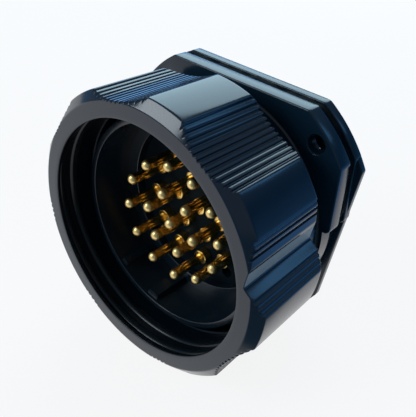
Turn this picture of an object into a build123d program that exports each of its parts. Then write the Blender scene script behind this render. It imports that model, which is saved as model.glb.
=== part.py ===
from build123d import *
import os
from math import cos, radians, sin, sqrt

# Circular multi-way connector for a panel, male half, with a turning coupling ring.
# The axis lies along Y: the mating end faces -Y, the panel side faces +Y, and +Z is up.
# The origin is on the axis, at the rear face of the backing plate, where the panel lies.

# Contacts
outer_circle_share = 0.6386
inner_circle_share = 0.3238
first_outer_angle = 126.8
first_inner_angle = 111.8
pin_radius = 1.25
pin_length = 9.5
collar_radius = 1.9
collar_proud = 2.2
tail_proud = 6.5

# Insulator and the ring that holds it
insert_radius = 22.05
insert_thickness = 15.0
seat_clearance = 0.05
insert_key_width = 3.0
insert_key_height = 1.2
retainer_thickness = 3.0
retainer_width = 3.4
retainer_slot_width = 3.0
retainer_slot_depth = 1.4
mould_recess_radius = 1.5
mould_recess_depth = 2.5
mould_recess_edge = 4.1
mould_recess_angle = -61.0

# Shell, from the insulator outwards
ledge_width = 1.2
ledge_length = 2.3
cavity_step = 1.9
cavity_depth = 10.4
barrel_wall = 1.5
barrel_set_back = 7.8
neck_step = 1.5
neck_foot = 0.8
rear_wall = 1.9
rear_length = 12.0
seat_step = 0.3
edge_chamfer = 0.5

# Keys in the barrel: direction, width and height of each
keys = [(260.0, 3.2, 1.3), (233.0, 1.8, 1.0), (100.0, 1.8, 1.0), (20.0, 1.8, 1.0)]
key_set_back = 1.0

# Plates behind the coupling ring
flange_thickness = 4.1
gasket_thickness = 3.0
backing_thickness = 1.8
flange_rim = 2.5
inner_plate_rim = 2.9
ear_step = 0.4
ear_chamfer = 8.5
ear_foot_height = 2.5
ear_foot_radius = 1.0
gasket_inset = 0.4
fixing_edge_distance = 7.0
fixing_hole_radius = 2.25

# Circlip and mating seal on the barrel
circlip_thickness = 1.4
circlip_depth = 0.6
circlip_proud = 1.4
circlip_gap = 7.0
seal_thickness = 1.8
seal_proud = 1.6

# Coupling ring, from its inside outwards
ring_length = 22.0
ring_gap = 6.5
running_clearance = 0.08
end_clearance = 0.3
wall_clearance = 0.4
collar_length = 4.4
collar_rear_depth = 2.4
relief_gap = 2.4
thread_relief = 0.4
thread_height = 0.9
thread_length = 9.6
mouth_length = 0.8
rim_width = 3.6
rim_slope_height = 2.4
rim_slope_length = 1.8
lobe_count = 8
lobe_width = 16.0
first_lobe_angle = 36.0
valley_sag = 1.25
valley_groove_count = 12
rib_height = 0.5
index_land_angle = 7.2
index_notch_angle = -3.3
index_notch_depth = 1.9
index_notch_upper_wall = 68.0
index_notch_lower_wall = 43.0
rear_slope_height = 0.8
rear_slope_length = 0.8

# Radii, worked out from the inside to the outside
outer_circle_radius = insert_radius * outer_circle_share
inner_circle_radius = insert_radius * inner_circle_share
insert_bore_radius = insert_radius + seat_clearance
ledge_radius = insert_bore_radius - ledge_width
retainer_bore_radius = insert_radius - retainer_width
rear_radius = insert_bore_radius + rear_wall
seat_radius = rear_radius + seat_step
cavity_radius = insert_bore_radius + cavity_step
barrel_radius = cavity_radius + barrel_wall
circlip_floor_radius = barrel_radius - circlip_depth
circlip_radius = barrel_radius + circlip_proud
seal_radius = barrel_radius + seal_proud
neck_radius = barrel_radius + neck_step
relief_radius = barrel_radius + relief_gap
thread_root_radius = relief_radius + thread_relief
mouth_radius = thread_root_radius - thread_height
rim_radius = mouth_radius + rim_width
crest_radius = rim_radius + rim_slope_height
flange_lower_radius = neck_radius + flange_rim
inner_plate_lower_radius = seat_radius + inner_plate_rim
plate_half_width = flange_lower_radius + ear_step
fixing_offset = plate_half_width - fixing_edge_distance

# Places along the axis, worked out from the sizes above
flange_rear_y = -backing_thickness - gasket_thickness
flange_front_y = flange_rear_y - flange_thickness
ring_rear_y = flange_front_y - ring_gap
ring_front_y = ring_rear_y - ring_length
barrel_front_y = ring_front_y + barrel_set_back
ledge_front_y = barrel_front_y + cavity_depth
ledge_rear_y = ledge_front_y + ledge_length
insert_rear_y = ledge_rear_y + insert_thickness
retainer_rear_y = insert_rear_y + retainer_thickness
collar_rear_y = ring_rear_y - collar_rear_depth
collar_front_y = collar_rear_y - collar_length
neck_front_y = collar_rear_y + end_clearance
circlip_rear_y = collar_front_y - end_clearance
circlip_front_y = circlip_rear_y - circlip_thickness
thread_rear_y = ring_front_y + mouth_length + thread_length

# Contact places: the outer circle, the inner circle and the middle, as X and Z
contact_places = []
for circle_radius, first_angle, count in (
    (outer_circle_radius, first_outer_angle, 12),
    (inner_circle_radius, first_inner_angle, 6),
    (0.0, 0.0, 1),
):
    for step in range(count):
        angle = radians(first_angle + step * 360 / count)
        contact_places.append((circle_radius * cos(angle), circle_radius * sin(angle)))


def plane_at(y):
    """Sketch plane across the axis at y, with sketch x, y along X, Z. It extrudes towards the front."""
    return Plane.XZ.offset(-y)


def save(piece, name):
    """Label a finished piece and write it under its node name."""
    piece.part.label = name
    export_step(piece.part, f"parts/{name}.step")


os.makedirs("parts", exist_ok=True)

# Plate outline: ears with chamfered corners above, a round lower half below


def plate_outline(sketch, lower_radius, inset=0.0):
    """Add the outline, shrunk by the inset, and its fixing holes to the open sketch."""
    side = plate_half_width - inset
    cut = ear_chamfer - (2 - sqrt(2)) * inset
    right = [(side, ear_foot_height), (side, side - cut), (side - cut, side)]
    left = [(-x, z) for x, z in reversed(right)]
    Polygon(*right, *left, align=None)
    fillet(sketch.vertices().group_by(Axis.Y)[0], ear_foot_radius)
    Circle(lower_radius)
    with Locations((fixing_offset, fixing_offset), (-fixing_offset, fixing_offset)):
        Circle(fixing_hole_radius, mode=Mode.SUBTRACT)


# Shell: keyed barrel, neck, flange and the barrel through the panel, one moulding
with BuildPart() as shell:
    with BuildSketch(Plane.XY):
        with BuildLine():
            Polyline(
                (cavity_radius, barrel_front_y),
                (barrel_radius - edge_chamfer, barrel_front_y),
                (barrel_radius, barrel_front_y + edge_chamfer),
                (barrel_radius, circlip_front_y),
                (circlip_floor_radius, circlip_front_y),
                (circlip_floor_radius, circlip_rear_y),
                (barrel_radius, circlip_rear_y),
                (barrel_radius, neck_front_y),
                (neck_radius, neck_front_y),
                (neck_radius, flange_front_y - neck_foot),
                (neck_radius + neck_foot, flange_front_y),
                (neck_radius + neck_foot, flange_rear_y),
                (seat_radius, flange_rear_y),
                (seat_radius, 0),
                (rear_radius, 0),
                (rear_radius, rear_length - edge_chamfer),
                (rear_radius - edge_chamfer, rear_length),
                (insert_bore_radius, rear_length),
                (insert_bore_radius, ledge_rear_y),
                (ledge_radius, ledge_rear_y),
                (ledge_radius, ledge_front_y),
                (cavity_radius, ledge_front_y),
                close=True,
            )
        make_face()
    revolve(axis=Axis.Y)
    with BuildSketch(plane_at(flange_rear_y)) as flange_sketch:
        plate_outline(flange_sketch, flange_lower_radius)
        Circle(neck_radius, mode=Mode.SUBTRACT)
    extrude(amount=flange_thickness)
    with BuildSketch(plane_at(ledge_front_y)):
        for key_angle, key_width, key_height in keys:
            key_root = barrel_wall / 2
            key_middle = cavity_radius + (key_root - key_height) / 2
            with PolarLocations(key_middle, 1, start_angle=key_angle):
                Rectangle(key_root + key_height, key_width)
    extrude(amount=cavity_depth - key_set_back)
    with BuildSketch(plane_at(insert_rear_y)):
        key_root = rear_wall / 2
        key_middle = insert_bore_radius + (key_root - insert_key_height) / 2
        with PolarLocations(key_middle, 1, start_angle=270):
            Rectangle(key_root + insert_key_height, insert_key_width)
    extrude(amount=insert_rear_y - ledge_rear_y)
save(shell, "shell")

# Coupling ring: smooth lobes, with a ribbed hollow between each two
lobe_pitch = 360 / lobe_count
valley_angle = first_lobe_angle - lobe_pitch / 2
valley_half_angle = (lobe_pitch - lobe_width) / 2
valley_half_chord = crest_radius * sin(radians(valley_half_angle))
valley_floor_radius = crest_radius * cos(radians(valley_half_angle)) - valley_sag
valley_arc_radius = (valley_half_chord**2 + valley_sag**2) / (2 * valley_sag)
valley_arc_distance = valley_floor_radius + valley_arc_radius
rib_pitch = 2 * valley_half_angle / valley_groove_count
groove_width = valley_floor_radius * radians(rib_pitch) / 2
groove_reach = crest_radius - valley_floor_radius + rib_height + 1

# Grooves and ribs take turns across the valley, half a rib from either end
groove_angles = [(step + 0.5) * rib_pitch - valley_half_angle for step in range(valley_groove_count)]


def groove_floor(angle):
    """Distance from the axis to a groove's floor, on an arc rib_height inside the valley's arc."""
    turn = radians(angle)
    reach = (valley_arc_radius + rib_height) ** 2 - (valley_arc_distance * sin(turn)) ** 2
    return valley_arc_distance * cos(turn) - sqrt(reach)


# Index notch: a V along the first hollow, which has no ribs for some way on either side of it
notch_turn = valley_angle + index_notch_angle
notch_reach = 3.2 * index_notch_depth
notch_floor = valley_floor_radius - index_notch_depth
notch_corners = [(notch_floor * cos(radians(notch_turn)), notch_floor * sin(radians(notch_turn)))]
for wall_turn in (notch_turn - index_notch_lower_wall, notch_turn + index_notch_upper_wall):
    wall_x = notch_corners[0][0] + notch_reach * cos(radians(wall_turn))
    wall_z = notch_corners[0][1] + notch_reach * sin(radians(wall_turn))
    notch_corners.append((wall_x, wall_z))

with BuildPart() as coupling_ring:
    with BuildSketch(plane_at(ring_rear_y)):
        Circle(crest_radius)
        with PolarLocations(valley_arc_distance, lobe_count, start_angle=valley_angle):
            Circle(valley_arc_radius, mode=Mode.SUBTRACT)
        for groove_angle in groove_angles:
            groove_middle = groove_floor(groove_angle) + groove_reach / 2
            skipped = 1 if abs(groove_angle) < index_land_angle else 0
            count = lobe_count - skipped
            start = valley_angle + groove_angle + skipped * lobe_pitch
            with PolarLocations(groove_middle, count, start_angle=start, angular_range=count * lobe_pitch):
                Rectangle(groove_reach, groove_width, mode=Mode.SUBTRACT)
        Polygon(*notch_corners, align=None, mode=Mode.SUBTRACT)
    extrude(amount=ring_length)
    rim_slope = rim_slope_length / rim_slope_height
    with BuildSketch(Plane.XY):
        with BuildLine():
            Polyline(
                (rim_radius, ring_front_y),
                (crest_radius + 1, ring_front_y),
                (crest_radius + 1, ring_front_y + rim_slope * (rim_slope_height + 1)),
                close=True,
            )
        make_face()
    revolve(axis=Axis.Y, mode=Mode.SUBTRACT)
    rear_slope = rear_slope_length / rear_slope_height
    with BuildSketch(Plane.XY):
        with BuildLine():
            Polyline(
                (crest_radius - rear_slope_height, ring_rear_y),
                (crest_radius + 1, ring_rear_y),
                (crest_radius + 1, ring_rear_y - rear_slope * (rear_slope_height + 1)),
                close=True,
            )
        make_face()
    revolve(axis=Axis.Y, mode=Mode.SUBTRACT)
    with BuildSketch(Plane.XY):
        with BuildLine():
            Polyline(
                (0, ring_front_y - 1),
                (mouth_radius, ring_front_y - 1),
                (mouth_radius, ring_front_y + mouth_length),
                (thread_root_radius, ring_front_y + mouth_length),
                (thread_root_radius, thread_rear_y),
                (relief_radius, thread_rear_y),
                (relief_radius, collar_front_y),
                (barrel_radius + running_clearance, collar_front_y),
                (barrel_radius + running_clearance, collar_rear_y),
                (neck_radius + wall_clearance, collar_rear_y),
                (neck_radius + wall_clearance, ring_rear_y + 1),
                (0, ring_rear_y + 1),
                close=True,
            )
        make_face()
    revolve(axis=Axis.Y, mode=Mode.SUBTRACT)
save(coupling_ring, "coupling_ring")

# Circlip: split ring in the barrel's groove, in front of the coupling ring's collar
with BuildPart() as ring_circlip:
    with BuildSketch(plane_at(circlip_rear_y)):
        Circle(circlip_radius)
        Circle(circlip_floor_radius, mode=Mode.SUBTRACT)
        with Locations((0, circlip_radius)):
            Rectangle(circlip_gap, 2 * (circlip_radius - cavity_radius), mode=Mode.SUBTRACT)
    extrude(amount=circlip_thickness)
save(ring_circlip, "ring_circlip")

# Mating seal: flat rubber ring round the barrel, which the other half's edge presses on
with BuildPart() as mating_seal:
    with BuildSketch(plane_at(circlip_front_y)):
        Circle(seal_radius)
        Circle(barrel_radius, mode=Mode.SUBTRACT)
    extrude(amount=seal_thickness)
save(mating_seal, "mating_seal")

# Flange gasket: rubber plate between the flange and the backing plate
with BuildPart() as flange_gasket:
    with BuildSketch(plane_at(-backing_thickness)) as gasket_sketch:
        plate_outline(gasket_sketch, inner_plate_lower_radius, gasket_inset)
        Circle(seat_radius, mode=Mode.SUBTRACT)
    extrude(amount=gasket_thickness)
save(flange_gasket, "flange_gasket")

# Backing plate: glossy plate that spreads the load of the fixings
with BuildPart() as backing_plate:
    with BuildSketch(plane_at(0)) as backing_sketch:
        plate_outline(backing_sketch, inner_plate_lower_radius)
        Circle(seat_radius, mode=Mode.SUBTRACT)
    extrude(amount=backing_thickness)
save(backing_plate, "backing_plate")

# Insulator: disc with a keyway and a hole for each contact
with BuildPart() as insert:
    with BuildSketch(plane_at(insert_rear_y)):
        Circle(insert_radius)
        keyway_height = insert_key_height + 2 * seat_clearance
        with PolarLocations(insert_bore_radius - keyway_height / 2, 1, start_angle=270):
            Rectangle(keyway_height, insert_key_width + 2 * seat_clearance, mode=Mode.SUBTRACT)
        with Locations(*contact_places):
            Circle(collar_radius + seat_clearance, mode=Mode.SUBTRACT)
    extrude(amount=insert_thickness)
    with BuildSketch(plane_at(ledge_rear_y + mould_recess_depth)):
        mould_recess_distance = insert_radius - mould_recess_edge
        with PolarLocations(mould_recess_distance, 1, start_angle=mould_recess_angle):
            Circle(mould_recess_radius)
    extrude(amount=mould_recess_depth, mode=Mode.SUBTRACT)
save(insert, "insert")

# Retainer: ring behind the insulator, with slots for a spanner
with BuildPart() as insert_retainer:
    with BuildSketch(plane_at(retainer_rear_y)):
        Circle(insert_radius)
        Circle(retainer_bore_radius, mode=Mode.SUBTRACT)
    extrude(amount=retainer_thickness)
    with BuildSketch(plane_at(retainer_rear_y)):
        Rectangle(2 * insert_radius + 1, retainer_slot_width)
        Rectangle(retainer_slot_width, 2 * insert_radius + 1)
    extrude(amount=retainer_slot_depth, mode=Mode.SUBTRACT)
save(insert_retainer, "insert_retainer")

# Contacts: turned pins with a thicker body through the insulator and out to a solder tail
collar_tip_y = ledge_rear_y - collar_proud
pin_tip_y = collar_tip_y - pin_length
tail_end_y = insert_rear_y + tail_proud

for number, (x, z) in enumerate(contact_places, start=1):
    with BuildPart() as contact:
        with BuildSketch(Plane(origin=(x, 0, z), x_dir=(1, 0, 0), z_dir=(0, 0, 1))):
            with BuildLine():
                Polyline(
                    (0, pin_tip_y),
                    (pin_radius, pin_tip_y),
                    (pin_radius, collar_tip_y),
                    (collar_radius, collar_tip_y),
                    (collar_radius, tail_end_y),
                    (0, tail_end_y),
                    close=True,
                )
            make_face()
        revolve(axis=Axis((x, 0, z), (0, 1, 0)))
    save(contact, f"contact_{number:02d}")
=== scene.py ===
# %% [markdown]
# # A circular multi-pin connector
# The connector has a gold-pinned barrel, a ribbed ring that turns round it, and a flange with
# two ears that is screwed to a panel. The frame gives the solids, the bodies and the joint, and
# everything here is in metres in that same frame. The box of the bare solids is kept.

# %% Load the frame
import bmesh
import bpy
import numpy as np
from mathutils import Matrix, Vector


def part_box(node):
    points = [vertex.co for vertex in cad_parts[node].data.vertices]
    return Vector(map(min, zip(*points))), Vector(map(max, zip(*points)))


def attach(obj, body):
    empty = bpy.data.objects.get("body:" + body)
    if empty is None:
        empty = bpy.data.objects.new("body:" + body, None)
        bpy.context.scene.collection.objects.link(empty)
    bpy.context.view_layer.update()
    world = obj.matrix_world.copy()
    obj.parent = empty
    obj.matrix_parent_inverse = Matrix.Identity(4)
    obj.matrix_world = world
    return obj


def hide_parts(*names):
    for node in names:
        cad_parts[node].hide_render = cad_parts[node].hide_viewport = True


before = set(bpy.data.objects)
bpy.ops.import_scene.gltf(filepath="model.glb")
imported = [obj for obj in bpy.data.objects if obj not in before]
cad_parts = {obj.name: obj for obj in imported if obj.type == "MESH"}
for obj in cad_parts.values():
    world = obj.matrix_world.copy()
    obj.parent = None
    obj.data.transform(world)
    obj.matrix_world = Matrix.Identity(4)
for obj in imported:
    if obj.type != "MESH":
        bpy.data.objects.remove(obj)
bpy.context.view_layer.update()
MM = 0.001

# %% [markdown]
# ## Where things are along the axis
# The axis is Y, and the mating end looks towards -Y. The boxes of the solids say where each
# piece starts and ends, so the new surfaces start and end at the same places. All profiles
# below are in millimetres, as pairs of distance from the axis and place along it.

# %% Read the places from the frame


def span(node):
    """First and last place of a node along the axis, in millimetres."""
    low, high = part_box(node)
    return low[1] / MM, high[1] / MM


ring_front, ring_rear = span("coupling_ring")
barrel_front, shell_rear = span("shell")
gasket_front = span("flange_gasket")[0]
insert_front, insert_rear = span("insert")
seal_front, seal_rear = span("mating_seal")
circlip_front, circlip_rear = span("ring_circlip")
pin_tip, tail_end = span("contact_01")
crest_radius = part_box("coupling_ring")[1][0] / MM
plate_half_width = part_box("backing_plate")[1][0] / MM
panel_face = 0.0
print("ring from", round(ring_front, 2), "to", round(ring_rear, 2))
print("crest radius", round(crest_radius, 2))

# %% [markdown]
# ## Surfaces from grids
# Each new surface is a grid of points worked out with whole arrays. The helper below turns such
# a grid into a mesh of four-sided faces, closes it round each way that is asked for, and merges
# the points of a pole. Faces are smooth, and stay crisp where two of them meet at a steep angle.

# %% Grid to mesh


def grid_faces(rows, columns, close_rows, close_columns):
    """Corner numbers of each cell of a grid, its last line joined to the first if closed.

    A cell's corners are i * columns + j for its row i and column j and the next ones.
    """
    i = np.arange(rows if close_rows else rows - 1)[:, None]
    j = np.arange(columns if close_columns else columns - 1)[None, :]
    i2, j2 = (i + 1) % rows, (j + 1) % columns
    corners = [i * columns + j, i * columns + j2, i2 * columns + j2, i2 * columns + j]
    return np.stack(corners, -1).reshape(-1, 4)


def finish_mesh(name, points, faces, triangles=None, crisp=32.0):
    """Object from points in millimetres and faces: doubles merged, faces outwards and smooth."""
    if not np.isfinite(points).all():
        raise ValueError(name + " has points that are not numbers")
    mesh = bpy.data.meshes.new(name)
    polygons = faces.tolist() + ([] if triangles is None else triangles.tolist())
    mesh.from_pydata((points * MM).tolist(), [], polygons)
    work = bmesh.new()
    work.from_mesh(mesh)
    bmesh.ops.remove_doubles(work, verts=work.verts, dist=2e-7)
    bmesh.ops.dissolve_degenerate(work, dist=1e-8, edges=work.edges)
    bmesh.ops.recalc_face_normals(work, faces=work.faces)
    work.to_mesh(mesh)
    work.free()
    mesh.shade_smooth()
    mesh.set_sharp_from_angle(angle=np.radians(crisp))
    piece = bpy.data.objects.new(name, mesh)
    bpy.context.scene.collection.objects.link(piece)
    return piece


def turned(radius, place, angles):
    """Points of a profile turned about the Y axis: x = r cos a, y = place, z = r sin a."""
    shape = (len(angles), np.shape(radius)[-1])
    r = np.broadcast_to(radius, shape)
    y = np.broadcast_to(place, shape)
    a = angles[:, None]
    return np.stack([r * np.cos(a), y, r * np.sin(a)], -1)


def turned_piece(name, radius, place, angles, full=True, crisp=32.0):
    """Object from a closed profile turned about the axis, all the way round or with open ends."""
    points = turned(radius, place, angles)
    faces = grid_faces(*points.shape[:2], full, True)
    return finish_mesh(name, points.reshape(-1, 3), faces, crisp=crisp)


def round_corners(corners, radii, steps=5):
    """Closed profile with each corner replaced by an arc that is tangent to both its sides."""
    corners = np.asarray(corners, float)
    nearly_straight = 1.56
    out = []
    sides = zip(np.roll(corners, 1, 0), corners, np.roll(corners, -1, 0), radii)
    for before, corner, after, radius in sides:
        u, v = before - corner, after - corner
        u, v = u / np.linalg.norm(u), v / np.linalg.norm(v)
        half = np.arccos(np.clip(u @ v, -1, 1)) / 2
        if radius == 0 or half > nearly_straight:
            out.append(corner[None])
            continue
        centre = corner + (u + v) / np.linalg.norm(u + v) * radius / np.sin(half)
        start = u * radius / np.tan(half) + corner - centre
        end = v * radius / np.tan(half) + corner - centre
        turn = np.pi - 2 * half
        t = np.linspace(0, 1, steps)[:, None]
        arc = (np.sin((1 - t) * turn) * start + np.sin(t * turn) * end) / np.sin(turn)
        out.append(centre + arc)
    return np.concatenate(out)


def smooth_step(x):
    """0 below 0, 1 above 1, and 3 x squared minus 2 x cubed between."""
    x = np.clip(x, 0, 1)
    return x * x * (3 - 2 * x)


def soft_min(a, b, blend):
    """The lower of two values, with the crease between them rounded over the blend width."""
    return (a + b - np.sqrt((a - b) ** 2 + blend**2)) / 2


full_turn = np.linspace(0, 2 * np.pi, 192, endpoint=False)
print("helpers ready,", len(full_turn), "steps to a turn")

# %% [markdown]
# ## Shader groups
# Moulded plastic is never perfectly even. A group gives a fine unevenness as a height, and a
# slow cloudiness as a mask, which the glossy and the satin plastic both use with their own
# amounts. A second group gives the worn look of rubber and metal: small spots on a noise. A few
# helpers come first: each makes one node, and feeds its inputs with numbers or with sockets.

# %% Node helpers


def new_group(name, inputs, outputs):
    """Empty node group with named number inputs (with defaults) and number outputs."""
    group = bpy.data.node_groups.new(name, "ShaderNodeTree")
    for label, value in inputs.items():
        socket = group.interface.new_socket(label, in_out="INPUT", socket_type="NodeSocketFloat")
        socket.default_value = value
    for label in outputs:
        group.interface.new_socket(label, in_out="OUTPUT", socket_type="NodeSocketFloat")
    return group, group.nodes.new("NodeGroupInput"), group.nodes.new("NodeGroupOutput")


def feed(tree, node, inputs):
    """Each named input of a node follows a socket, or else holds a number or a colour."""
    for label, value in inputs.items():
        if isinstance(value, bpy.types.NodeSocket):
            tree.links.new(value, node.inputs[label])
        else:
            node.inputs[label].default_value = value


def add(tree, kind, inputs=None, **settings):
    """New node with its settings, and then what its inputs are fed with."""
    node = tree.nodes.new(kind)
    for key, value in settings.items():
        setattr(node, key, value)
    feed(tree, node, inputs or {})
    return node


def span_map(tree, value, before, after=(0.0, 1.0)):
    """Value carried in a straight line from the span before to the span after, held at its ends."""
    node = add(tree, "ShaderNodeMapRange", {
        "Value": value, "From Min": before[0], "From Max": before[1],
        "To Min": after[0], "To Max": after[1]})
    return node.outputs["Result"]


def colour_mix(tree, share, first, second):
    """Colour that goes from the first to the second with the share."""
    node = add(tree, "ShaderNodeMix", {0: share, 6: first, 7: second}, data_type="RGBA")
    return node.outputs[2]


def worked_out(tree, operation, *values):
    """Number that one step of arithmetic gives."""
    return add(tree, "ShaderNodeMath", dict(enumerate(values)), operation=operation).outputs[0]


print("node helpers ready")

# %% Unevenness and specks
moulded, given, result = new_group(
    "moulded_unevenness", {"Grain Scale": 900.0, "Cloud Scale": 60.0}, ["Height", "Cloud"])
place = add(moulded, "ShaderNodeTexCoord").outputs["Object"]
for out, scale, detail in (("Height", "Grain Scale", 3.0), ("Cloud", "Cloud Scale", 2.0)):
    noise = add(moulded, "ShaderNodeTexNoise",
                {"Vector": place, "Scale": given.outputs[scale], "Detail": detail})
    feed(moulded, result, {out: noise.outputs["Fac"]})

specks, given, result = new_group("fine_specks", {"Scale": 2500.0, "Amount": 0.5}, ["Mask"])
place = add(specks, "ShaderNodeTexCoord").outputs["Object"]
dots = add(specks, "ShaderNodeTexNoise",
           {"Vector": place, "Scale": given.outputs["Scale"], "Detail": 4.0})
spots = span_map(specks, dots.outputs["Fac"], (given.outputs["Amount"], 0.75))
feed(specks, result, {"Mask": spots})
print("groups:", [g.name for g in bpy.data.node_groups])

# %% [markdown]
# ## Plastics
# The casing is a hard glossy black plastic with a little blue in it. Most of what is seen on it
# is reflection, so its colour is nearly black and its roughness is low, with the cloudiness
# moving both a little. The insulator is the same kind of plastic with a satin face.

# %% Plastic materials


def new_material(name):
    """Material with its Principled shader, ready for links."""
    material = bpy.data.materials.new(name)
    material.use_nodes = True
    tree = material.node_tree
    return material, tree, tree.nodes["Principled BSDF"]


def plastic(name, dark, light, smooth, rough, grain_scale=1400.0, height=0.010, specular=0.5):
    """Moulded plastic: colour and roughness follow the cloudiness, and a fine grain bumps it."""
    material, tree, shader = new_material(name)
    uneven = add(tree, "ShaderNodeGroup", {"Grain Scale": grain_scale}, node_tree=moulded)
    cloud = uneven.outputs["Cloud"]
    bump = add(tree, "ShaderNodeBump", {
        "Strength": 0.25, "Distance": height * MM, "Height": uneven.outputs["Height"]})
    feed(tree, shader, {
        "Base Color": colour_mix(tree, cloud, (*dark, 1), (*light, 1)),
        "Roughness": span_map(tree, cloud, (0.3, 0.7), (smooth, rough)),
        "Normal": bump.outputs["Normal"], "IOR": 1.5, "Specular IOR Level": specular})
    return material


casing = plastic("casing_gloss", (0.004, 0.015, 0.027), (0.006, 0.022, 0.038), 0.14, 0.21,
                 specular=0.34)
ring_gloss = plastic("ring_gloss", (0.004, 0.011, 0.021), (0.006, 0.016, 0.030), 0.11, 0.18)
barrel_gloss = plastic("barrel_gloss", (0.003, 0.009, 0.015), (0.005, 0.013, 0.021), 0.20, 0.28)
satin = plastic("insulator_satin", (0.003, 0.008, 0.012), (0.005, 0.012, 0.017), 0.34, 0.44,
                grain_scale=1800.0, height=0.02, specular=0.05)
# The inside of the ring's mouth and its thread get a darker, less shiny copy of the ring plastic:
# painted shade inside the mouth.
mouth_painted_shade = plastic("mouth_painted_shade", (0.002, 0.005, 0.008), (0.003, 0.008, 0.012), 0.22, 0.30,
                      specular=0.28)
# The notch's upper wall gets a pale grey, rough plastic: a painted reflection of the white floor.
notch_painted_reflection = plastic("notch_wall_painted_reflection", (0.32, 0.33, 0.31), (0.37, 0.38, 0.36), 0.50, 0.62,
                     height=0.03)
plastics = (casing, ring_gloss, barrel_gloss, satin, mouth_painted_shade, notch_painted_reflection)
print("plastics:", *(finish.name for finish in plastics))

# %% [markdown]
# ## Rubber, gold and steel
# The gasket and the seal are matt black rubber with a dusty bloom. The contacts are turned brass
# with gold on it. Their noses get a brighter gold, a painted highlight for the light they catch,
# and a rougher face, so the colour and the roughness change along each pin a little behind its
# tip.

# %% Rubber, gold and steel materials


def rubber(name, dark, bloom, specular=0.25):
    """Matt rubber: dark colour with a pale bloom on the specks, high roughness, fine bump."""
    material, tree, shader = new_material(name)
    mask = add(tree, "ShaderNodeGroup", {"Scale": 1800.0, "Amount": 0.45}, node_tree=specks)
    bump = add(tree, "ShaderNodeBump", {
        "Strength": 0.4, "Distance": 0.02 * MM, "Height": mask.outputs["Mask"]})
    feed(tree, shader, {
        "Base Color": colour_mix(tree, mask.outputs["Mask"], (*dark, 1), (*bloom, 1)),
        "Normal": bump.outputs["Normal"], "Roughness": 0.75, "Specular IOR Level": specular})
    return material


def metal(name, body, bright, scale):
    """Turned metal, its specks, and the colour that goes to the bright one on them."""
    material, tree, shader = new_material(name)
    shader.inputs["Metallic"].default_value = 1.0
    group = add(tree, "ShaderNodeGroup", {"Scale": scale, "Amount": 0.3}, node_tree=specks)
    mask = group.outputs["Mask"]
    return material, tree, shader, mask, colour_mix(tree, mask, (*body, 1), (*bright, 1))


gasket_rubber = rubber("gasket_rubber", (0.0010, 0.0014, 0.0018), (0.003, 0.0035, 0.004), 0.06)
seal_rubber = rubber("seal_rubber", (0.008, 0.009, 0.011), (0.020, 0.022, 0.025))

steel, tree, shader, mask, colour = metal("spring_steel", (0.30, 0.30, 0.31), (0.42, 0.42, 0.43),
                                          1500.0)
feed(tree, shader, {"Base Color": colour,
                    "Roughness": span_map(tree, mask, (0.0, 1.0), (0.17, 0.30))})

gold, tree, shader, mask, colour = metal("contact_gold", (0.90, 0.60, 0.18), (0.95, 0.68, 0.27),
                                         900.0)
pale_until, gold_from = pin_tip + 0.7, pin_tip + 1.3
where = add(tree, "ShaderNodeTexCoord")
split = add(tree, "ShaderNodeSeparateXYZ", {0: where.outputs["Object"]})
behind_nose = span_map(tree, split.outputs["Y"], (pale_until * MM, gold_from * MM))
# The brighter gold of the noses is a painted highlight.
feed(tree, shader, {"Base Color": colour_mix(tree, behind_nose, (0.98, 0.72, 0.30, 1), colour),
                    "Roughness": span_map(tree, behind_nose, (0.0, 1.0), (0.40, 0.22))})
print("gold turns pale in front of y =", round(gold_from, 2), "mm")

# %% [markdown]
# ## Coupling ring
# The ring is gripped by hand, so it has eight smooth lobes with a ribbed hollow between each two.
# Seen along the axis the outside is one curve: a circle, cut by eight larger circles whose
# middles lie outside, with narrow grooves pressed into each cut. One hollow has a V-shaped notch
# instead of its middle grooves, as a mark that a finger feels. The curve stays the same all
# along the ring, and a cone takes off the front edge of the lobes and a smaller one the back.

# %% Outline of the ring along the axis
lobe_pitch = 45.0
first_valley = 13.5
valley_half = 14.5
valley_sag = 1.25
groove_count = 12
groove_depth = 0.42
groove_edge = 0.27
groove_width_share = 0.38

half_chord = crest_radius * np.sin(np.radians(valley_half))
valley_floor = crest_radius * np.cos(np.radians(valley_half)) - valley_sag
valley_arc = (half_chord**2 + valley_sag**2) / (2 * valley_sag)
valley_reach = valley_floor + valley_arc
rib_pitch = 2 * valley_half / groove_count
groove_half = groove_width_share / 2 * rib_pitch
groove_middles = (np.arange(groove_count) + 0.5) * rib_pitch - valley_half


def hollow_radius(turn):
    """Distance to the hollow's arc, D cos t - sqrt(R^2 - D^2 sin^2 t): middle at D, radius R."""
    t = np.radians(turn)
    inside = np.maximum(valley_arc**2 - (valley_reach * np.sin(t)) ** 2, 0)
    return valley_reach * np.cos(t) - np.sqrt(inside)


def groove_mask(turn):
    """1 in a groove and 0 on a rib, with a smooth step down each side over the edge width."""
    away = np.abs(turn[..., None] - groove_middles)
    return np.max(1 - smooth_step((away - groove_half + groove_edge) / (2 * groove_edge)), -1)


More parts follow.
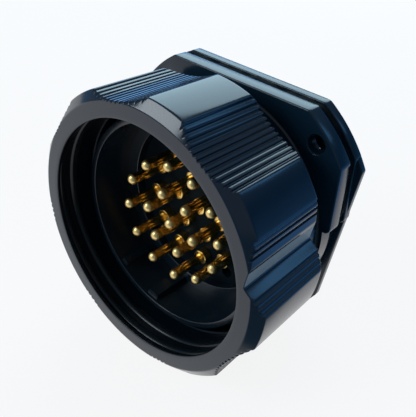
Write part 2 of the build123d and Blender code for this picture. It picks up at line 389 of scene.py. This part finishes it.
edge_steps = groove_half + groove_edge * np.array([-0.9, -0.55, -0.2, 0.15, 0.5, 0.95])
in_groove = np.concatenate([edge_steps, -edge_steps, [0.0, rib_pitch / 2]])
in_valley = (groove_middles[:, None] + in_groove).ravel()
on_lobe = np.array([14.5, 14.7, 15.0, 15.6, 17.0, 19.0, 21.0])
one_pitch = np.unique(np.round(np.concatenate([in_valley, on_lobe, -on_lobe, [22.5]]), 3))
near_notch = np.arange(6.3, 19.0, 0.2)
every_pitch = first_valley + (np.arange(8)[:, None] * lobe_pitch + one_pitch).ravel()
before_notch, after_notch = near_notch[0] - 0.1, near_notch[-1] + 0.1
far_from_notch = every_pitch[(every_pitch < before_notch) | (every_pitch > after_notch)]
ring_turn = np.sort(np.concatenate([far_from_notch, near_notch]))
ring_off_valley = (ring_turn - first_valley + lobe_pitch / 2) % lobe_pitch - lobe_pitch / 2
ring_angles = np.radians(ring_turn)
print("steps round the ring:", len(ring_angles))
print("valley floor", round(float(valley_floor), 2), "mm")

# %% [markdown]
# The notch is two flat walls that meet in a round valley along the ring. Seen along the axis each
# wall is a straight line, so its distance from the axis is a fraction of sine and cosine of the
# turn, and the valley is the higher of the two walls with the crease between them rounded.

# %% Index notch
notch_turn = 10.2
upper_lean, lower_lean = 68.0, 43.0
notch_floor = valley_floor - 1.9
valley_blend = 0.6
land_half = 7.2


def wall_radius(turn, wall_turn):
    """Distance to a line through the notch's floor: cross(floor, wall) over cross(turn, wall)."""
    t, w = np.radians(turn), np.radians(wall_turn)
    floor = notch_floor * np.sin(w - np.radians(notch_turn))
    return floor / np.sin(w - t)


def notch_radius(turn):
    """The higher of the two walls: (a + b + sqrt((a - b)^2 + blend^2)) / 2."""
    upper = wall_radius(turn, notch_turn + upper_lean)
    lower = wall_radius(turn, notch_turn - lower_lean)
    return -soft_min(-upper, -lower, valley_blend)


in_first = np.abs(ring_turn - first_valley) < valley_half
groove_share = groove_mask(ring_off_valley) * ~(in_first & (np.abs(ring_off_valley) < land_half))
uncut = crest_radius + 2
notch_limit = np.where(in_first, notch_radius(np.clip(ring_turn, 3.0, 22.0)), uncut)
print("notch floor", round(float(notch_limit.min()), 2), "mm from the axis")

# %% [markdown]
# The surface is a grid of turn and place along the axis. The radius is the lowest of the outline,
# the notch, the front cone and the rear cone, with the creases between them rounded, so the
# hollows, their ribs and the notch run out through both ends of the ring.

# %% Surface of the ring
rim_radius = 31.0
mouth_radius = 27.4
rim_inner = 27.52
thread_root = 28.3
relief_radius = 27.9
collar_radius = 25.58
rear_bore = 27.4
rear_inner = 27.7
cone_length = 1.8
ring_length = ring_rear - ring_front
rear_slope = 0.8
edge_round = 0.18
crease, rear_crease = 0.10, 0.08

# Places along the ring from its front, closest together where the cones and rounds are.
out_y = np.array([0.0, 0.03, 0.09, 0.18, 0.3, 0.46, 0.65, 0.85, 1.05, 1.25, 1.45, 1.62, 1.74, 1.86,
                  2.0, 2.2, 2.8, 8.0, 14.0, 19.0, 20.6, 20.9, 21.1, 21.25, 21.45, 21.65, 21.82,
                  21.91, 21.97, 22.0])
out_y = np.minimum(out_y, ring_length)
turn = ring_off_valley[:, None]
hollow = np.where(np.abs(turn) < valley_half + 2, hollow_radius(turn), uncut)
outline = soft_min(hollow - groove_depth * groove_share[:, None], crest_radius, crease)
outline = soft_min(outline, notch_limit[:, None], crease)
front_cone = rim_radius + (crest_radius - rim_radius) * out_y / cone_length
rear_cone = crest_radius - rear_slope + (ring_length - out_y)
outside_r = soft_min(soft_min(outline, front_cone, crease), rear_cone, rear_crease)
from_end = np.minimum(np.minimum(out_y, ring_length - out_y) / edge_round, 1)
outside_r = outside_r - edge_round * (1 - np.sqrt(1 - (1 - from_end) ** 2))

rim_share = np.array([0.0, 0.03, 0.3, 0.7, 0.96])
rim_r = rim_inner + (outside_r[:, :1] - rim_inner) * rim_share
rim_y = np.array([0.02, 0.0, 0.0, 0.0, 0.0])
rear_share = np.array([0.05, 0.5, 0.97])
rear_r = outside_r[:, -1:] + (rear_inner - outside_r[:, -1:]) * rear_share
rear_y = np.full(3, ring_length)
inside = np.array([(rear_bore, 21.7), (rear_bore, 19.6), (25.7, 19.6), (collar_radius, 19.5),
                   (collar_radius, 15.3), (25.7, 15.2), (relief_radius, 15.2),
                   (relief_radius, 10.4), (thread_root, 10.3), (thread_root, 1.1), (28.2, 0.9),
                   (27.5, 0.8), (mouth_radius, 0.7), (mouth_radius, 0.14)])
rows = len(ring_angles)
ring_r = np.concatenate([rim_r, outside_r, rear_r, np.tile(inside[:, 0], (rows, 1))], 1)
ring_y = np.concatenate([rim_y, out_y, rear_y, inside[:, 1]]) + ring_front
ring_piece = turned_piece("coupling_ring_moulded", ring_r, ring_y, ring_angles, crisp=38)
print("ring faces:", len(ring_piece.data.polygons))

# %% [markdown]
# Inside the mouth is a coarse thread with round crests, which pulls the other half in. It is a
# round profile carried along a helix, sunk a little in the wall, and it swells from nothing at
# its start and fades at its end.

# %% Thread in the mouth
thread_pitch = 3.2
thread_turns = 2.0
thread_start = 1.15
thread_phase = np.radians(115.0)
crest_sunk, crest_height, crest_half_width, buried = 0.30, 0.80, 1.05, -0.15
fade = 0.5

thread_angle = np.linspace(0, 2 * np.pi * thread_turns, 330)
across = np.linspace(0, 2 * np.pi, 20, endpoint=False)
swell = smooth_step(thread_angle / fade) * smooth_step((thread_angle[-1] - thread_angle) / fade)
crest = np.maximum(crest_height * np.cos(across), buried)
crest_r = thread_root + crest_sunk - crest[None, :] * swell[:, None]
helix_y = ring_front + thread_start + thread_pitch * thread_angle[:, None] / (2 * np.pi)
crest_y = helix_y + crest_half_width * np.sin(across)[None, :] * swell[:, None]
around = thread_phase + thread_angle[:, None]
thread_points = np.stack([crest_r * np.cos(around), crest_y, crest_r * np.sin(around)], -1)
thread_piece = finish_mesh("ring_thread", thread_points.reshape(-1, 3),
                           grid_faces(len(thread_angle), len(across), False, True))
print("thread from", round(float(crest_y.min()), 2), "to", round(float(crest_y.max()), 2), "mm")

# %% [markdown]
# ## Shell barrel
# The barrel, its neck and the part behind the panel are one turned form. The keys that let only
# the right half in are ribs on its inside wall. They are part of the same grid: the radius of
# the wall drops by the key's height where the turn is within the key's width.

# %% Barrel with its keys
cavity_radius = 24.0
barrel_radius = 25.5
neck_radius = 27.0
shoulder_radius = 28.3
seat_radius = 24.3
rear_radius = 24.0
rear_bore_radius = 22.1
ledge_radius = 20.9
ledge_front, ledge_rear = insert_front - 2.3, insert_front
neck_front = ring_rear - 2.1
flange_front, flange_rear = gasket_front - 4.1, gasket_front
circlip_floor = 24.9
key_front = barrel_front + 1.0
# Each key: its direction in degrees, its width and its height.
keys = [(260.0, 3.2, 1.3), (233.0, 1.8, 1.0), (100.0, 1.8, 1.0), (20.0, 1.8, 1.0)]

key_edges = []
for direction, width, height in keys:
    half_angle = np.degrees(width / 2 / cavity_radius)
    offsets = np.array([-0.35, -0.2, 0.0, 0.2, 0.35])
    key_edges += [direction - half_angle + offsets, direction + half_angle + offsets]
barrel_turn = np.unique(np.concatenate([np.linspace(0, 360, 180, endpoint=False), *key_edges]))


def key_height(turn):
    """How far the keys stand in from the wall at each turn: the key's height, with a soft flank."""
    total = np.zeros_like(turn)
    for direction, width, height in keys:
        off = np.abs((turn - direction + 180) % 360 - 180)
        half_angle = np.degrees(width / 2 / cavity_radius)
        total = np.maximum(total, height * (1 - smooth_step((off - half_angle + 0.3) / 0.6)))
    return total


# Corners of the barrel from its front edge along the outside to the rear, and back inside.
outer_corners = [
    (barrel_radius, barrel_front), (barrel_radius, circlip_front), (circlip_floor, circlip_front),
    (circlip_floor, circlip_rear), (barrel_radius, circlip_rear), (barrel_radius, neck_front),
    (neck_radius, neck_front), (neck_radius, flange_front + 0.02),
    (shoulder_radius, flange_front + 0.06), (shoulder_radius, flange_rear - 0.5),
    (seat_radius, flange_rear - 0.5), (seat_radius, panel_face), (rear_radius, panel_face),
    (rear_radius, shell_rear), (rear_bore_radius, shell_rear), (rear_bore_radius, ledge_rear),
    (ledge_radius, ledge_rear), (ledge_radius, ledge_front), (cavity_radius, ledge_front),
    (cavity_radius, key_front - 0.1), (cavity_radius, key_front - 0.3),
    (cavity_radius, barrel_front)]
outer_radii = [0.32, 0, 0, 0, 0, 0, 0.3, 0.8, 0, 0, 0, 0, 0, 0.5, 0.3, 0, 0, 0.25, 0, 0, 0, 0.15]
profile = round_corners(outer_corners, outer_radii)
keyed = (np.abs(profile[:, 0] - cavity_radius) < 0.01) & (profile[:, 1] > key_front - 0.2)
keyed &= profile[:, 1] < ledge_front + 0.1
barrel_r = profile[None, :, 0] - key_height(barrel_turn)[:, None] * keyed[None, :]
barrel_piece = turned_piece("shell_barrel", barrel_r, profile[:, 1], np.radians(barrel_turn))
print("barrel faces:", len(barrel_piece.data.polygons))

# %% [markdown]
# ## Plates of the flange
# The flange, the gasket and the backing plate share one outline: two ears above, with corners
# that follow a circle about the axis, and a round half below. Each plate is a rounded edge
# carried along that outline and round each hole, closed by a flat face in front and behind. The
# rubber's edge is squeezed out unevenly, so the outline of the gasket waves a little. Behind the
# step that holds the gasket, the backing plate widens into a thin foot whose sides lean inwards.

# %% Outline of the plates


def even_steps(path, step):
    """Closed path walked in even steps: its length so far, and points read off at equal lengths."""
    closed = np.concatenate([path, path[:1]])
    along = np.concatenate([[0], np.cumsum(np.linalg.norm(np.diff(closed, axis=0), axis=1))])
    marks = np.linspace(0, along[-1], int(along[-1] / step), endpoint=False)
    walked = [np.interp(marks, along, closed[:, side]) for side in (0, 1)]
    return np.stack(walked, -1), marks


def on_circle(radius, first, last, count):
    """Points of a circle about the axis from one turn to another: x = r cos a, z = r sin a."""
    a = np.linspace(first, last, count)
    return radius * np.stack([np.cos(a), np.sin(a)], -1)


def ear_outline(lower_radius, inset, foot=2.6, ear_round=1.3):
    """Outline as x and z: a circle below, straight sides, and corners on the larger circle."""
    side, corner_radius = plate_half_width - inset, ear_corner_radius - inset
    low_end, start = np.arcsin(foot / lower_radius), np.arccos(side / corner_radius)
    below = on_circle(lower_radius, np.pi - low_end, 2 * np.pi + low_end, 120)
    right = on_circle(corner_radius, start, np.pi / 2 - start, 24)
    left = on_circle(corner_radius, np.pi / 2 + start, np.pi - start, 24)
    path = np.concatenate([below, [(side, foot)], right, left, [(-side, foot)]])
    foot_round = min(1.2, 0.9 * (side - below[-1, 0]))
    low, high = [0.35] + [0] * 22, [0] * 22 + [0.35]
    radii = [0] * len(below) + [foot_round] + low + [ear_round] * 2 + high + [foot_round]
    return round_corners(path, radii)


def foot_outline(lean=8.1, side=28.88, knee=-22.0, bottom=-29.5, taper=0.61, inset=0.05):
    """Outline of the foot: sides that lean in, cut above by the ears' circle."""
    slope = np.radians(lean)

    def half_at(z):
        """Half of the foot's width at a height: (side + z sin slope) / cos slope."""
        return (side + z * np.sin(slope)) / np.cos(slope)

    corner_radius = ear_corner_radius - inset
    start = np.arccos(side / corner_radius) - slope
    stop = np.arcsin((plate_half_width - inset) / corner_radius)
    right = on_circle(corner_radius, start, stop, 24)
    left = on_circle(corner_radius, np.pi - stop, np.pi - start, 24)
    below = half_at(knee) - taper * (knee - bottom)
    path = np.concatenate([[(below, bottom), (half_at(knee), knee)], right, left,
                           [(-half_at(knee), knee), (-below, bottom)]])
    ends = [0.6] + [0] * 22 + [0.6]
    return round_corners(path, [2.0, 1.5] + ends + ends + [1.5, 2.0])


def sideways(path):
    """Outward direction at each point of a closed path that runs anticlockwise."""
    along = np.roll(path, -1, 0) - np.roll(path, 1, 0)
    along /= np.linalg.norm(along, axis=1)[:, None]
    return np.stack([along[:, 1], -along[:, 0]], -1)


def fill_between(loops):
    """Triangles that fill the flat area inside the first loop and outside the others."""
    starts = np.cumsum([0] + [len(loop) for loop in loops])
    edges = np.concatenate([np.stack([np.arange(n), (np.arange(n) + 1) % n], -1) + s
                            for n, s in zip([len(loop) for loop in loops], starts)])
    flat = np.concatenate(loops)
    sheet = bpy.data.meshes.new("sheet")
    sheet.from_pydata(np.insert(flat, 1, 0.0, axis=1).tolist(), edges.tolist(), [])
    work = bmesh.new()
    work.from_mesh(sheet)
    bmesh.ops.triangle_fill(work, use_beauty=True, use_dissolve=False, edges=work.edges)
    work.to_mesh(sheet)
    work.free()
    corners = np.zeros(len(sheet.loops), int)
    sheet.loops.foreach_get("vertex_index", corners)
    bpy.data.meshes.remove(sheet)
    return corners.reshape(-1, 3)


def plate(name, outline, bore, front, rear, edge, hole_radius=2.25):
    """Plate between two places along the axis, with a quarter-round on every edge."""
    path = even_steps(outline, outline_step)[0]
    turn = np.linspace(0, 2 * np.pi, 120, endpoint=False)
    small = np.linspace(0, 2 * np.pi, 48, endpoint=False)
    hole = np.stack([np.cos(small), np.sin(small)], -1) * hole_radius
    loops = [path, np.stack([np.cos(turn), np.sin(turn)], -1) * bore,
             hole + (hole_offset, hole_offset), hole + (-hole_offset, hole_offset)]
    outward = [sideways(loop) * sign for loop, sign in zip(loops, (1, -1, -1, -1))]
    arc = np.radians(np.linspace(0, 90, 5))
    depth = edge * (1 - np.sin(np.concatenate([arc, arc[::-1]])))
    rise = edge * (1 - np.cos(arc))
    level = np.concatenate([front + rise, rear - rise[::-1]])
    points, faces, start = [], [], 0
    for loop, out in zip(loops, outward):
        edge_points = loop[:, None, :] - out[:, None, :] * depth[None, :, None]
        levels = np.broadcast_to(level, edge_points.shape[:2])
        placed = np.stack([edge_points[..., 0], levels, edge_points[..., 1]], -1)
        points.append(placed.reshape(-1, 3))
        faces.append(grid_faces(len(loop), len(level), True, False) + start)
        start += len(loop) * len(level)
    inner = [loop - out * edge for loop, out in zip(loops, outward)]
    triangles = fill_between(inner) * len(level)
    both = np.concatenate([triangles, triangles[:, ::-1] + len(level) - 1])
    return finish_mesh(name, np.concatenate(points), np.concatenate(faces), both)


ear_corner_radius = 1.2 * plate_half_width
hole_offset = 22.9
outline_step = 0.45
flange_path = ear_outline(28.0, 0.0)
step_path = ear_outline(27.2, 0.0)
foot_path = foot_outline()
gasket_path, gasket_marks = even_steps(ear_outline(27.0, 0.3), outline_step)
# Each wave of the gasket's edge: its height, its length over 2 pi, and its start.
waves = [(0.14, 3.1, 0.0), (0.16, 1.7, 1.0), (0.12, 0.8, 0.0)]
wave = sum(high * np.sin(gasket_marks / length + start) for high, length, start in waves)
gasket_path = gasket_path + sideways(gasket_path) * wave[:, None]
print("outline points:", len(flange_path), len(gasket_path), len(foot_path))

# %% Flange, gasket and backing plate
step_front, foot_front = -2.7, -1.7
flange_piece = plate("shell_flange", flange_path, neck_radius - 0.5, flange_front, flange_rear,
                     0.35)
gasket_piece = plate("gasket_sheet", gasket_path, seat_radius, gasket_front, step_front, 0.3,
                     hole_radius=1.7)
step_piece = plate("backing_plate_step", step_path, seat_radius, step_front, panel_face, 0.3)
foot_piece = plate("backing_plate_foot", foot_path, seat_radius + 0.3, foot_front,
                   panel_face - 0.01, 0.25, hole_radius=2.5)
plates = (flange_piece, gasket_piece, step_piece, foot_piece)
print("plates:", [len(piece.data.polygons) for piece in plates])

# %% [markdown]
# ## Contacts
# Each contact is turned from one bar: a pin with a round nose, a collar that stands a little out
# of the insulator, and at the back a solder cup with one side cut away, so that a wire can be
# laid in. The cut is in the grid too: the length of the cup's wall depends on the turn. The seven
# contacts in the middle reach a little further out than the twelve round them.

# %% One contact, placed nineteen times
pin_radius, nose_length = 1.25, 1.15
groove_r = 1.16
collar_r = 1.9
collar_tip = insert_front - 2.2
cup_radius = 1.35
cup_depth = 4.6
scoop = 3.0
inner_extra, inner_circle = 0.5, 10
nose_turn = np.radians(np.linspace(0, 90, 11))
pin_turn = np.linspace(0, 2 * np.pi, 40, endpoint=False)

nose_r, nose_y = pin_radius * np.sin(nose_turn), pin_tip + nose_length * (1 - np.cos(nose_turn))
body_profile = np.array([
    (pin_radius, collar_tip - 0.5), (groove_r, collar_tip - 0.35), (groove_r, collar_tip - 0.02),
    (1.3, collar_tip), (1.72, collar_tip), (1.86, collar_tip + 0.06), (collar_r, collar_tip + 0.2),
    (collar_r, insert_front), (collar_r, insert_rear), (collar_r, tail_end - cup_depth)])
cup_cut = smooth_step((np.cos(pin_turn) + 0.1) / 0.5)[:, None] * scoop
cup_r = np.array([collar_r, collar_r, 1.84, 1.62, 1.4, cup_radius, cup_radius, cup_radius, 0.0])
cup_along = np.array([0.5, 0.96, 1.0, 1.0, 1.0, 0.97, 0.5, 0.0, 0.0])
cup_y = tail_end - cup_depth + (cup_depth - cup_cut) * cup_along[None, :]
contact_r = np.concatenate([nose_r, body_profile[:, 0], cup_r])
front_y = np.concatenate([nose_y, body_profile[:, 1]])
contact_y = np.concatenate([np.tile(front_y, (len(pin_turn), 1)), cup_y], 1)
contact_grid = turned(contact_r, contact_y, pin_turn)
contact_faces = grid_faces(len(pin_turn), len(contact_r), True, False)

contacts = [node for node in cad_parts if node.startswith("contact_")]
for node in sorted(contacts):
    low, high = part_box(node)
    middle = np.array([(low[0] + high[0]) / 2, 0, (low[2] + high[2]) / 2]) / MM
    away = np.arctan2(middle[2], middle[0])
    c, s = np.cos(away), np.sin(away)
    turned_out = contact_grid @ np.array([[c, 0, s], [0, 1, 0], [-s, 0, c]]) + middle
    longer = inner_extra * (np.hypot(middle[0], middle[2]) < inner_circle)
    turned_out[..., 1] -= longer * smooth_step((collar_tip - 1 - turned_out[..., 1]) / 2)
    pin = finish_mesh("turned_" + node, turned_out.reshape(-1, 3), contact_faces)
    pin.data.materials.append(gold)
    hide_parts(node)
    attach(pin, "body")
print("contacts:", len(contacts), "with", len(contact_faces), "faces each")

# %% [markdown]
# ## Seal and circlip
# A flat rubber seal and a spring-steel circlip sit on the barrel inside the ring. Little of them
# shows in the gap, yet they are turned forms as well, with round edges and, for the circlip, a
# gap at the top that is left open between two end faces.

# %% Seal and circlip
seal_radius, clip_radius, clip_gap = 27.1, 26.9, 7.0
seal_profile = round_corners([(seal_radius, seal_front), (seal_radius, seal_rear),
                              (barrel_radius, seal_rear), (barrel_radius, seal_front)],
                             [0.4, 0.4, 0, 0])
seal_piece = turned_piece("seal_ring", *seal_profile.T, full_turn)
clip_section = round_corners([(clip_radius, circlip_front), (clip_radius, circlip_rear),
                              (circlip_floor, circlip_rear), (circlip_floor, circlip_front)],
                             [0.15, 0.15, 0.1, 0.1])
clip_half_gap = np.arcsin(clip_gap / 2 / 26.0)
clip_turn = np.linspace(np.pi / 2 + clip_half_gap, 2.5 * np.pi - clip_half_gap, 160)
clip_piece = turned_piece("clip_ring", *clip_section.T, clip_turn, full=False)
work = bmesh.new()
work.from_mesh(clip_piece.data)
bmesh.ops.holes_fill(work, edges=work.edges, sides=0)
bmesh.ops.recalc_face_normals(work, faces=work.faces)
work.to_mesh(clip_piece.data)
work.free()
print("seal and circlip:", len(seal_piece.data.polygons), len(clip_piece.data.polygons))

# %% [markdown]
# ## Finishes and bodies
# Every new piece names the solid that it stands for, the body that it moves with and the slot of
# its finish. The solids that stay, the insulator and its retainer, get their material here.

# %% Dress and attach
pieces = [
    (ring_piece, "ring", ring_gloss, "ring_plastic", ["coupling_ring"]),
    (thread_piece, "ring", mouth_painted_shade, "ring_plastic", []),
    (barrel_piece, "body", barrel_gloss, "shell_plastic", ["shell"]),
    (flange_piece, "body", casing, "shell_plastic", ["shell"]),
    (gasket_piece, "body", gasket_rubber, "gasket_rubber", ["flange_gasket"]),
    (step_piece, "body", casing, "shell_plastic", ["backing_plate"]),
    (foot_piece, "body", casing, "shell_plastic", ["backing_plate"]),
    (seal_piece, "body", seal_rubber, "seal_rubber", ["mating_seal"]),
    (clip_piece, "body", steel, "spring_steel", ["ring_circlip"]),
]
for piece, rides_on, finish, slot, nodes in pieces:
    piece.data.materials.append(finish)
    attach(piece, rides_on)
    if nodes:
        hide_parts(*nodes)
# The faces of the notch's upper wall take the pale plastic, which is a painted reflection of the
# floor.
wall_low, wall_high, rim_edge = notch_turn + 0.7, 17.1, 30.95
ring_mesh = ring_piece.data
ring_mesh.materials.append(notch_painted_reflection)
ring_mesh.materials.append(mouth_painted_shade)
face_centre, face_normal = np.zeros((2, 3 * len(ring_mesh.polygons)))
ring_mesh.polygons.foreach_get("center", face_centre)
ring_mesh.polygons.foreach_get("normal", face_normal)
x, _, z = face_centre.reshape(-1, 3).T / MM
face_turn, face_r, lengthwise = np.degrees(np.arctan2(z, x)), np.hypot(x, z), face_normal[1::3]
on_wall = (face_turn > wall_low) & (face_turn < wall_high) & (face_r > notch_floor - 0.1)
on_wall &= (face_r < rim_edge) & (np.abs(lengthwise) < 0.3)
# The faces inside the mouth take the darker plastic, which is painted shade.
in_mouth = (face_r < thread_root + 0.1) & (np.abs(lengthwise) < 0.9)
ring_mesh.polygons.foreach_set("material_index", np.where(in_mouth, 2, on_wall).astype(np.int32))
print("matt faces in the notch:", int(on_wall.sum()), "satin faces inside:", int(in_mouth.sum()))
for node, finish in (("insert", satin), ("insert_retainer", casing)):
    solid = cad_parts[node]
    solid.data.materials.clear()
    solid.data.materials.append(finish)
print("pieces:", len(pieces) + len(contacts))

# %% [markdown]
# ## Camera
# The camera stands above and to the right of the mating end, close to the part. Its place, its
# turn and its lens come from a fit to the photograph, and the small shift moves the picture so
# that the part sits in it as the photograph shows.

# %% Camera
camera_place = Vector((0.07655, -0.10466, 0.07986))
yaw, pitch, roll = np.radians([-31.91, -27.48, 8.38])
forward = Vector((np.sin(yaw) * np.cos(pitch), np.cos(yaw) * np.cos(pitch), np.sin(pitch)))
level_right = Vector((np.cos(yaw), -np.sin(yaw), 0))
level_up = level_right.cross(forward)
right = np.cos(roll) * level_right + np.sin(roll) * level_up
up = -np.sin(roll) * level_right + np.cos(roll) * level_up
focal_pixels = 581.42
picture_width, picture_height = 416, 417
centre_x, centre_y = 292.24, 141.81
lens_data = bpy.data.cameras.new("camera")
lens_data.sensor_width = 36.0
lens_data.lens = focal_pixels * lens_data.sensor_width / picture_height
lens_data.shift_x = (picture_width / 2 - centre_x) / picture_height
lens_data.shift_y = (centre_y - picture_height / 2) / picture_height
lens_data.clip_start = 0.005
camera = bpy.data.objects.new("camera", lens_data)
turn_to = Matrix((right, up, -forward)).transposed()
camera.matrix_world = Matrix.Translation(camera_place) @ turn_to.to_4x4()
bpy.context.scene.collection.objects.link(camera)
bpy.context.scene.camera = camera
print("lens", round(lens_data.lens, 2), "mm, shift", round(lens_data.shift_x, 3),
      round(lens_data.shift_y, 3))

# %% [markdown]
# ## Floor and light
# The part lies on a plain white floor, as a product photograph has it. A glossy dark part shows
# the room more than its own colour: what faces down or sideways shows the white floor, and what
# faces up shows the room behind, which is a deep blue with one large window in it. The room in
# front of the part is a plain grey. To the right and behind, the white floor ends near the part,
# and the reflections turn blue there, and dark in front of the part. The camera sees white all
# round.

# %% Floor
floor_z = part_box("coupling_ring")[0][2]
floor_half = 1.5
glow_share = 0.88
corners = [(x * floor_half, y * floor_half, floor_z)
           for x, y in ((-1, -1), (1, -1), (1, 1), (-1, 1))]
floor_mesh = bpy.data.meshes.new("floor")
floor_mesh.from_pydata(corners, [], [(0, 1, 2, 3)])
floor = bpy.data.objects.new("floor", floor_mesh)
bpy.context.scene.collection.objects.link(floor)

floor_white, tree, shader = new_material("floor_white")
feed(tree, shader, {"Base Color": (0.86, 0.87, 0.88, 1), "Roughness": 0.9})
sees = add(tree, "ShaderNodeLightPath").outputs
spot = add(tree, "ShaderNodeTexCoord")
spot_xyz = add(tree, "ShaderNodeSeparateXYZ", {0: spot.outputs["Object"]})
to_right, to_rear = spot_xyz.outputs["X"], spot_xyz.outputs["Y"]
beside = span_map(tree, worked_out(tree, "MULTIPLY_ADD", to_rear, -0.35, to_right), (0.044, 0.056))
behind = span_map(tree, to_rear, (0.12, 0.22))
beyond = worked_out(tree, "MAXIMUM", beside, behind)
mirrored = worked_out(tree, "MULTIPLY", beyond, sees["Is Glossy Ray"])
side_on = span_map(tree, to_rear, (0.0, 0.025))
side_hue = colour_mix(tree, side_on, (0.03, 0.08, 0.11, 1), (0.09, 0.39, 1.0, 1))
glow = add(tree, "ShaderNodeEmission", {
    "Color": colour_mix(tree, mirrored, (1, 1, 1, 1), side_hue), "Strength": 1.0})
either = worked_out(tree, "MAXIMUM", sees["Is Camera Ray"], sees["Is Glossy Ray"])
share = worked_out(tree, "MULTIPLY", either, glow_share)
blend = add(tree, "ShaderNodeMixShader", {0: share, 1: shader.outputs[0], 2: glow.outputs[0]})
feed(tree, tree.nodes["Material Output"], {"Surface": blend.outputs[0]})
floor_mesh.materials.append(floor_white)
print("floor at", round(floor_z / MM, 2), "mm")

# %% World
world = bpy.data.worlds.new("room")
bpy.context.scene.world = world
world.use_nodes = True
tree = world.node_tree
background = tree.nodes["Background"]
direction = add(tree, "ShaderNodeTexCoord")
facing = add(tree, "ShaderNodeSeparateXYZ", {0: direction.outputs["Generated"]})
sky = add(tree, "ShaderNodeValToRGB", {"Fac": facing.outputs["Z"]})
stops = sky.color_ramp.elements
stops[0].position, stops[0].color = 0.0, (0.09, 0.28, 0.60, 1)
stops[1].position, stops[1].color = 1.0, (0.30, 0.42, 0.55, 1)
stops.new(0.30).color = (0.02, 0.09, 0.22, 1)
front = span_map(tree, facing.outputs["Y"], (0.15, -0.35))
room = colour_mix(tree, front, sky.outputs["Color"], (0.17, 0.21, 0.26, 1))
seen = add(tree, "ShaderNodeLightPath")
tone = colour_mix(tree, seen.outputs["Is Camera Ray"], room, (1, 1, 1, 1))
feed(tree, background, {"Color": tone, "Strength": 1.0})
print("world ready")

# %% [markdown]
# Four flat lamps stand in for the windows. Flat lamps give the soft edges that long highlights on
# moulded plastic have, where a point lamp would leave hard dots. The large window lights the top
# from behind, two small blue ones tint the ribs, and a soft box in front opens up the mouth.

# %% Lamps


def soft_panel(name, place, aim, width, height, power, colour):
    """Flat lamp of a width and height at a place, turned to face the aim."""
    data = bpy.data.lights.new(name, "AREA")
    data.shape = "RECTANGLE"
    data.size, data.size_y = width, height
    data.energy = power
    data.color = colour
    lamp = bpy.data.objects.new(name, data)
    lamp.location = place
    lamp.rotation_euler = (Vector(aim) - Vector(place)).to_track_quat("-Z", "Y").to_euler()
    bpy.context.scene.collection.objects.link(lamp)


soft_panel("window", (-0.30, 0.47, 0.37), (0, -0.01, 0), 0.56, 0.36, 2.3, (0.62, 0.88, 1.0))
soft_panel("blue_window", (0.33, 0.41, 0.38), (0.03, -0.02, 0), 0.08, 0.16, 0.10,
           (0.15, 0.50, 1.0))
soft_panel("low_blue", (-0.43, 0.41, 0.09), (0, -0.02, 0.01), 0.30, 0.18, 0.26, (0.27, 0.56, 1.0))
soft_panel("front_softbox", (-0.32, -0.49, 0.33), (0, -0.03, 0), 0.32, 0.28, 1.9,
           (0.84, 0.93, 1.0))
bpy.context.scene.view_settings.view_transform = "Standard"
